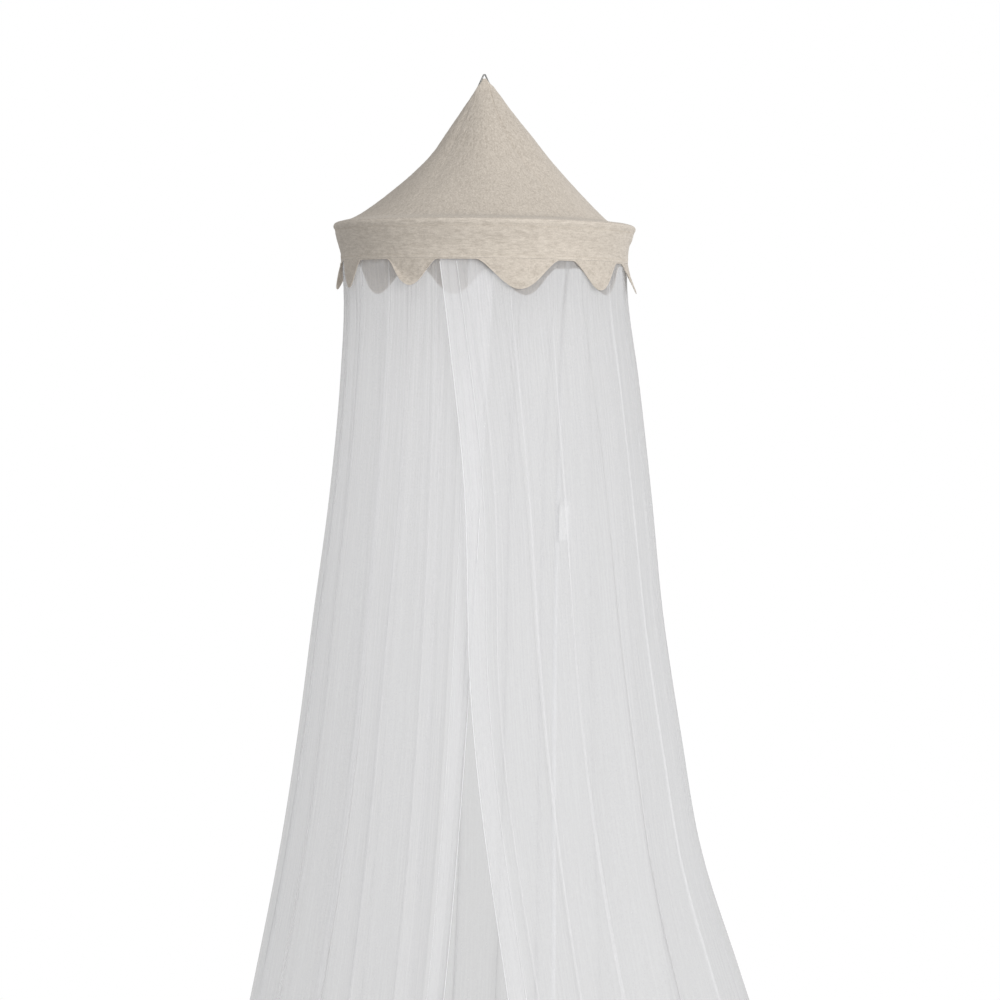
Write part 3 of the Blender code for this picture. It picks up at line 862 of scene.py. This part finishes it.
net_white, tree, shader = new_material("net_white", (0.77, 0.765, 0.77), 0.9, Alpha=0.34, Sheen_Weight=1.0)
uv = tree.nodes.new("ShaderNodeUVMap")
uv.uv_map = "cloth"
to_yarns = tree.nodes.new("ShaderNodeMapping")
to_yarns.inputs["Scale"].default_value = (1.0, 0.03, 1.0)
tree.links.new(uv.outputs["UV"], to_yarns.inputs["Vector"])
yarns = tree.nodes.new("ShaderNodeTexNoise")
yarns.inputs["Scale"].default_value = 260.0
yarns.inputs["Detail"].default_value = 2.0
tree.links.new(to_yarns.outputs["Vector"], yarns.inputs["Vector"])
meshes = tree.nodes.new("ShaderNodeTexVoronoi")
meshes.feature = "DISTANCE_TO_EDGE"
meshes.inputs["Scale"].default_value = 480.0
tree.links.new(uv.outputs["UV"], meshes.inputs["Vector"])
density = spread(tree, yarns.outputs["Fac"], *YARN_ALPHA)
density = sum_of(tree, density, spread(tree, meshes.outputs["Distance"], *MESH_ALPHA, 0.0, 0.35))
rays = tree.nodes.new("ShaderNodeLightPath")
shade = spread(tree, rays.outputs["Is Shadow Ray"], 1.0, SHADOW_SHARE, 0.0, 1.0)
tree.links.new(sum_of(tree, density, shade, "MULTIPLY"), shader.inputs["Alpha"])
tinted(tree, shader, yarns.outputs["Fac"], NET_DARK, NET_LIGHT)

columns = np.linspace(0, last_ridge, last_ridge * NET_COLUMNS_PER_FOLD + 1)
turned = (np.arange(TURNED_COLUMNS) + FOLD_SLIVER) / (TURNED_COLUMNS - 1 + FOLD_SLIVER)
right_turned, left_turned = RIGHT_EDGE_HEM * turned, LEFT_EDGE_HEM * turned
places = np.concatenate([right_turned[::-1], columns, last_ridge - left_turned])
turned_inside = np.full(TURNED_COLUMNS, TURNED_UNDER)
place_inside = np.concatenate([turned_inside, 0 * columns, turned_inside])
drops = NET_TOP_DROP + NET_LENGTH * np.linspace(0, 1, NET_ROWS) ** ROW_CROWDING
turned_drop = HEM_DROP - HEM_DEPTH * np.linspace(0.5, 1, TURNED_ROWS)
drops = np.concatenate([drops, turned_drop])
drop_inside = np.concatenate([np.zeros(NET_ROWS), np.full(TURNED_ROWS, TURNED_UNDER)])
place_grid, drop_grid = np.meshgrid(places, drops)
net_grid = net_surface(place_grid, drop_grid, place_inside[None, :] + drop_inside[:, None])
net_grid[..., 2] += hem_lift(place_grid, drop_grid)
net = cloth_grid("net_skirt_fine", net_grid, False, net_white)
# Its yarns are round, so it shades by the skirt's form more than by its small folds. A fold's reversed
# stretch takes the form's normal turned round, as its outer face looks in.
true_normals = outward(net_grid, False)
form_normals = net_grid * (1.0, FACING_FRONT, 0.0)
form_normals[..., 2] = FORM_SLOPE * np.linalg.norm(form_normals, axis=-1)
form_normals /= np.linalg.norm(form_normals, axis=-1, keepdims=True)
corner_points = np.empty(len(net.data.loops), np.int32)
net.data.loops.foreach_get("vertex_index", corner_points)
face_normals = np.empty(len(net.data.polygons) * 3)
net.data.polygons.foreach_get("normal", face_normals)
face_normals = np.repeat(face_normals.reshape(-1, 3), 4, axis=0)
form_normals = form_normals.reshape(-1, 3)[corner_points]
true_normals = true_normals.reshape(-1, 3)[corner_points]
shading = np.sign(np.sum(face_normals * form_normals, axis=-1, keepdims=True)) * form_normals
shading += FOLD_SHADE * np.sign(np.sum(face_normals * true_normals, axis=-1, keepdims=True)) * true_normals
shading /= np.linalg.norm(shading, axis=-1, keepdims=True)
net.data.normals_split_custom_set(shading.tolist())
uv_layer = net.data.uv_layers.new(name="cloth")
across_the_cloth = np.concatenate([-right_turned[::-1], columns, last_ridge + left_turned])
flat_x = np.broadcast_to(across_the_cloth / last_ridge * NET_WIDTH, drop_grid.shape)
down_the_cloth = np.concatenate([drops[:NET_ROWS], 2 * HEM_DROP - turned_drop]) - NET_TOP_DROP
flat_y = np.broadcast_to(down_the_cloth[:, None], drop_grid.shape)
flat = np.stack([flat_x, flat_y], axis=-1).reshape(-1, 2)
uv_layer.data.foreach_set("uv", flat[corner_points].reshape(-1).astype(np.float32))
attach(net, "root")
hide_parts("net_skirt")

# Rows of stitches, as pitch, length and thread radius: one by each turned-in edge, at this share of the front
# edges' hems, and on the front edges a close one on the fold. Places across the net are in ridges.
NET_SEWING = (0.0040, 0.0030, 0.00022)
EDGE_SEWING = (0.0034, 0.0033, 0.0005)
EDGE_ROW = 0.02
SIDE_ROW = 0.94
SIDE_ROWS = (SIDE_ROW * RIGHT_EDGE_HEM, last_ridge - SIDE_ROW * LEFT_EDGE_HEM)
ROW_ENDS = 0.05
ROW_ABOVE_EDGE = 0.003
ON_NET = 0.0003
SIDE_POINTS = 260
HEM_POINTS = 1300
THREAD_DARK = (0.84, 0.84, 0.85)
THREAD_LIGHT = (0.94, 0.94, 0.94)


def row_down(place):
    """A row of stitches down the net by one of its front edges, as an open line."""
    side_drops = np.linspace(NET_TOP_DROP + 0.02, HEM_DROP - 0.004, SIDE_POINTS)
    return net_surface(np.full(SIDE_POINTS, place), side_drops, -ON_NET), False


white_thread, tree, shader = new_material("white_thread", (0.90, 0.90, 0.90), 0.75)
tinted(tree, shader, noise_node(tree, 900.0, 1.0), THREAD_DARK, THREAD_LIGHT)
hem_places = np.linspace(ROW_ENDS, last_ridge - ROW_ENDS, HEM_POINTS)
hem_row_drop = np.full(HEM_POINTS, HEM_DROP - HEM_DEPTH + ROW_ABOVE_EDGE)
hem_line = net_surface(hem_places, hem_row_drop, -ON_NET)
hem_line[:, 2] += hem_lift(hem_places, hem_row_drop)
net_lines = [(hem_line, False), *map(row_down, SIDE_ROWS)]
net_stitches = sew("net_stitches", net_lines, white_thread, *NET_SEWING)
edge_lines = [row_down(EDGE_ROW), row_down(last_ridge - EDGE_ROW)]
net_edges = sew("net_edge_stitches", edge_lines, white_thread, *EDGE_SEWING)

# Seam of the net's two widths: a narrow tape of doubled net down the inside, in the trough where they meet
SEAM_PLACE = 10.5
SEAM_WIDTH = 0.008
SEAM_OFF_NET = 0.0016
SEAM_BULGE = 0.0004
SEAM_POINTS = 220
SEAM_COLUMNS = 5
seam_drops = np.linspace(NET_TOP_DROP + 0.004, HEM_DROP - HEM_DEPTH - 0.006, SEAM_POINTS)
seam_line = net_surface(np.full(SEAM_POINTS, SEAM_PLACE), seam_drops, SEAM_OFF_NET)
ahead = np.stack([-seam_line[:, 1], seam_line[:, 0], 0 * seam_line[:, 0]], axis=-1)
ahead /= np.linalg.norm(ahead, axis=-1, keepdims=True)
shares = np.linspace(-0.5, 0.5, SEAM_COLUMNS)
seam_grid = seam_line[:, None, :] + ahead[:, None, :] * (shares * SEAM_WIDTH)[None, :, None]
inward = np.cross(ahead, np.array([0.0, 0.0, -1.0]))
seam_grid = seam_grid + inward[:, None, :] * (SEAM_BULGE * np.cos(np.pi * shares))[None, :, None]
seam_net, tree, shader = new_material("seam_net", (0.92, 0.92, 0.93), 0.8, Alpha=0.72)
threads = noise_node(tree, 420.0, 2.0, (1.0, 1.0, 0.3))
tree.links.new(spread(tree, threads, 0.64, 0.80), shader.inputs["Alpha"])
seam = cloth_grid("net_seam", seam_grid, False, seam_net)
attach(seam, "root")

# Care label
# A plain white tape, folded double and sewn by its top into the net's seam, on the inside. Both of its
# faces are bare.
LABEL_WIDTH = 0.018
LABEL_LENGTH = 0.074
LABEL_OFF_NET = 0.0020
# It hangs a little turned, twisting over this share of its length
LABEL_TWIST = 11.0
TWIST_SHARE = 0.2
# It bends inwards, its two layers lie apart at the top and nearer below, and it is a little wavy across
LABEL_BEND = 0.0016
LAYERS_APART = 0.0007
LAYERS_CLOSING = 0.4
LABEL_WAVE = 0.0004
LABEL_ROWS = 24
LABEL_COLUMNS = 7
TAPE_DARK = (0.93, 0.93, 0.93)
TAPE_LIGHT = (0.98, 0.98, 0.98)

label_tape, tree, shader = new_material("label_tape", (0.96, 0.96, 0.96), 0.55, Sheen_Weight=0.2)
ribs = noise_node(tree, 520.0, 2.0, (0.2, 0.2, 1.0))
tinted(tree, shader, ribs, TAPE_DARK, TAPE_LIGHT)
bumped(tree, shader, ribs, 0.0002, 0.5)
label_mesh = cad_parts["care_label"].data
label_points = np.array([vertex.co for vertex in label_mesh.vertices])
label_centre = (label_points.max(axis=0) + label_points.min(axis=0)) / 2
label_across = np.array([-label_centre[1], label_centre[0], 0.0]) / np.hypot(label_centre[0], label_centre[1])
below_centre = label_points[:, 2] < label_centre[2]
label_down = label_points[below_centre].mean(axis=0) - label_points[~below_centre].mean(axis=0)
label_down /= np.linalg.norm(label_down)
label_inward = np.cross(label_across, label_down)
along_tape = np.concatenate([np.linspace(0, 1, LABEL_ROWS), np.linspace(1, 0, LABEL_ROWS)])
twist = np.radians(LABEL_TWIST) * smoothstep(along_tape / TWIST_SHARE)
across_rows = np.cos(twist)[:, None] * label_across + np.sin(twist)[:, None] * label_inward
layer = np.concatenate([np.zeros(LABEL_ROWS), np.ones(LABEL_ROWS)])
bend = LABEL_BEND * along_tape**2 + LAYERS_APART * layer * (1 - LAYERS_CLOSING * along_tape)
bend = bend + LABEL_WIDTH / 2 * np.sin(twist)
tape_shares = np.linspace(-0.5, 0.5, LABEL_COLUMNS)
start = label_centre - label_down * LABEL_LENGTH / 2 + label_inward * LABEL_OFF_NET
label_grid = (
    start
    + label_down * (along_tape * LABEL_LENGTH)[:, None, None]
    + label_inward * (bend[:, None] + LABEL_WAVE * np.sin(3 * tape_shares + 1.2)[None, :])[..., None]
    + across_rows[:, None, :] * (tape_shares * LABEL_WIDTH)[None, :, None]
)
label = cloth_grid("care_label_tape", label_grid, False, label_tape)
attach(label, "root")
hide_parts("care_label")

# Floor, light and camera
# A pale floor a little below the hem, in a pale room. The main soft light stands at the right of the camera,
# a weaker one behind the canopy, and a small one above its front.
FLOOR_DROP = 2.315
FLOOR_RADIUS = 2.4
FLOOR_SIDES = 180
# What shows through the net is greyer than round it, as in a cut-out picture
BACKDROP_GREY = 0.65
FLOOR_PALE = (0.86, 0.86, 0.85)
FLOOR_BEHIND = (0.54, 0.54, 0.535)
ROOM_STRENGTH = 0.50
CAMERA_PLACE = (0.0258, -3.8, -0.44)
CAMERA_TILT = 86.0
CAMERA_LENS = 81.6
CAMERA_SENSOR = 36.0


def soft_light(name, place, target, size, power):
    """A square lamp that shines from its place to the target."""
    lamp = bpy.data.lights.new(name, "AREA")
    lamp.size = size
    lamp.energy = power
    light = bpy.data.objects.new(name, lamp)
    light.location = place
    light.rotation_euler = (Vector(target) - Vector(place)).to_track_quat("-Z", "Y").to_euler()
    bpy.context.scene.collection.objects.link(light)


floor_paint, tree, shader = new_material("floor_paint", FLOOR_PALE, 0.9)
rays = tree.nodes.new("ShaderNodeLightPath")
behind_net = spread(tree, rays.outputs["Transparent Depth"], 0.0, 1.0, 0.0, 1.0)
behind_net = sum_of(tree, behind_net, rays.outputs["Is Camera Ray"], "MULTIPLY")
tree.links.new(blended(tree, behind_net, FLOOR_PALE, FLOOR_BEHIND), shader.inputs["Base Color"])
floor_rim = on_circle(azimuths_round(FLOOR_SIDES), FLOOR_RADIUS, FLOOR_DROP)
floor_disc = bpy.data.meshes.new("floor")
floor_disc.from_pydata(floor_rim.tolist(), [], [list(range(FLOOR_SIDES))])
floor_disc.materials.append(floor_paint)
floor = bpy.data.objects.new("floor", floor_disc)
bpy.context.scene.collection.objects.link(floor)

soft_light("key_light", (2.62, -3.56, 0.1), (0.0, 0.0, -1.0), 2.6, 126.0)
soft_light("back_light", (2.3, 3.0, 0.6), (0.0, 0.0, -1.0), 2.4, 36.0)
soft_light("top_light", (-0.9, -1.5, 2.2), (0.0, 0.0, -0.2), 1.8, 16.0)

world = bpy.data.worlds.new("pale_room")
world.use_nodes = True
bpy.context.scene.world = world
nodes, links = world.node_tree.nodes, world.node_tree.links
nodes.clear()
room = nodes.new("ShaderNodeBackground")
room.inputs["Color"].default_value = (0.97, 0.98, 1.0, 1.0)
room.inputs["Strength"].default_value = ROOM_STRENGTH
seen = nodes.new("ShaderNodeBackground")
seen.inputs["Strength"].default_value = 1.0
path = nodes.new("ShaderNodeLightPath")
behind = spread(world.node_tree, path.outputs["Transparent Depth"], 1.0, BACKDROP_GREY, 0.0, 1.0)
either = nodes.new("ShaderNodeMixShader")
out = nodes.new("ShaderNodeOutputWorld")
links.new(behind, seen.inputs["Color"])
links.new(path.outputs["Is Camera Ray"], either.inputs["Fac"])
links.new(room.outputs["Background"], either.inputs[1])
links.new(seen.outputs["Background"], either.inputs[2])
links.new(either.outputs["Shader"], out.inputs["Surface"])

bpy.context.scene.view_settings.view_transform = "Standard"
bpy.context.scene.cycles.transparent_max_bounces = 48
bpy.context.scene.cycles.use_denoising = True

lens = bpy.data.cameras.new("photo_view")
lens.lens = CAMERA_LENS
lens.sensor_width = CAMERA_SENSOR
camera = bpy.data.objects.new("photo_view", lens)
camera.location = CAMERA_PLACE
camera.rotation_euler = (math.radians(CAMERA_TILT), 0.0, 0.0)
bpy.context.scene.collection.objects.link(camera)
bpy.context.scene.camera = camera
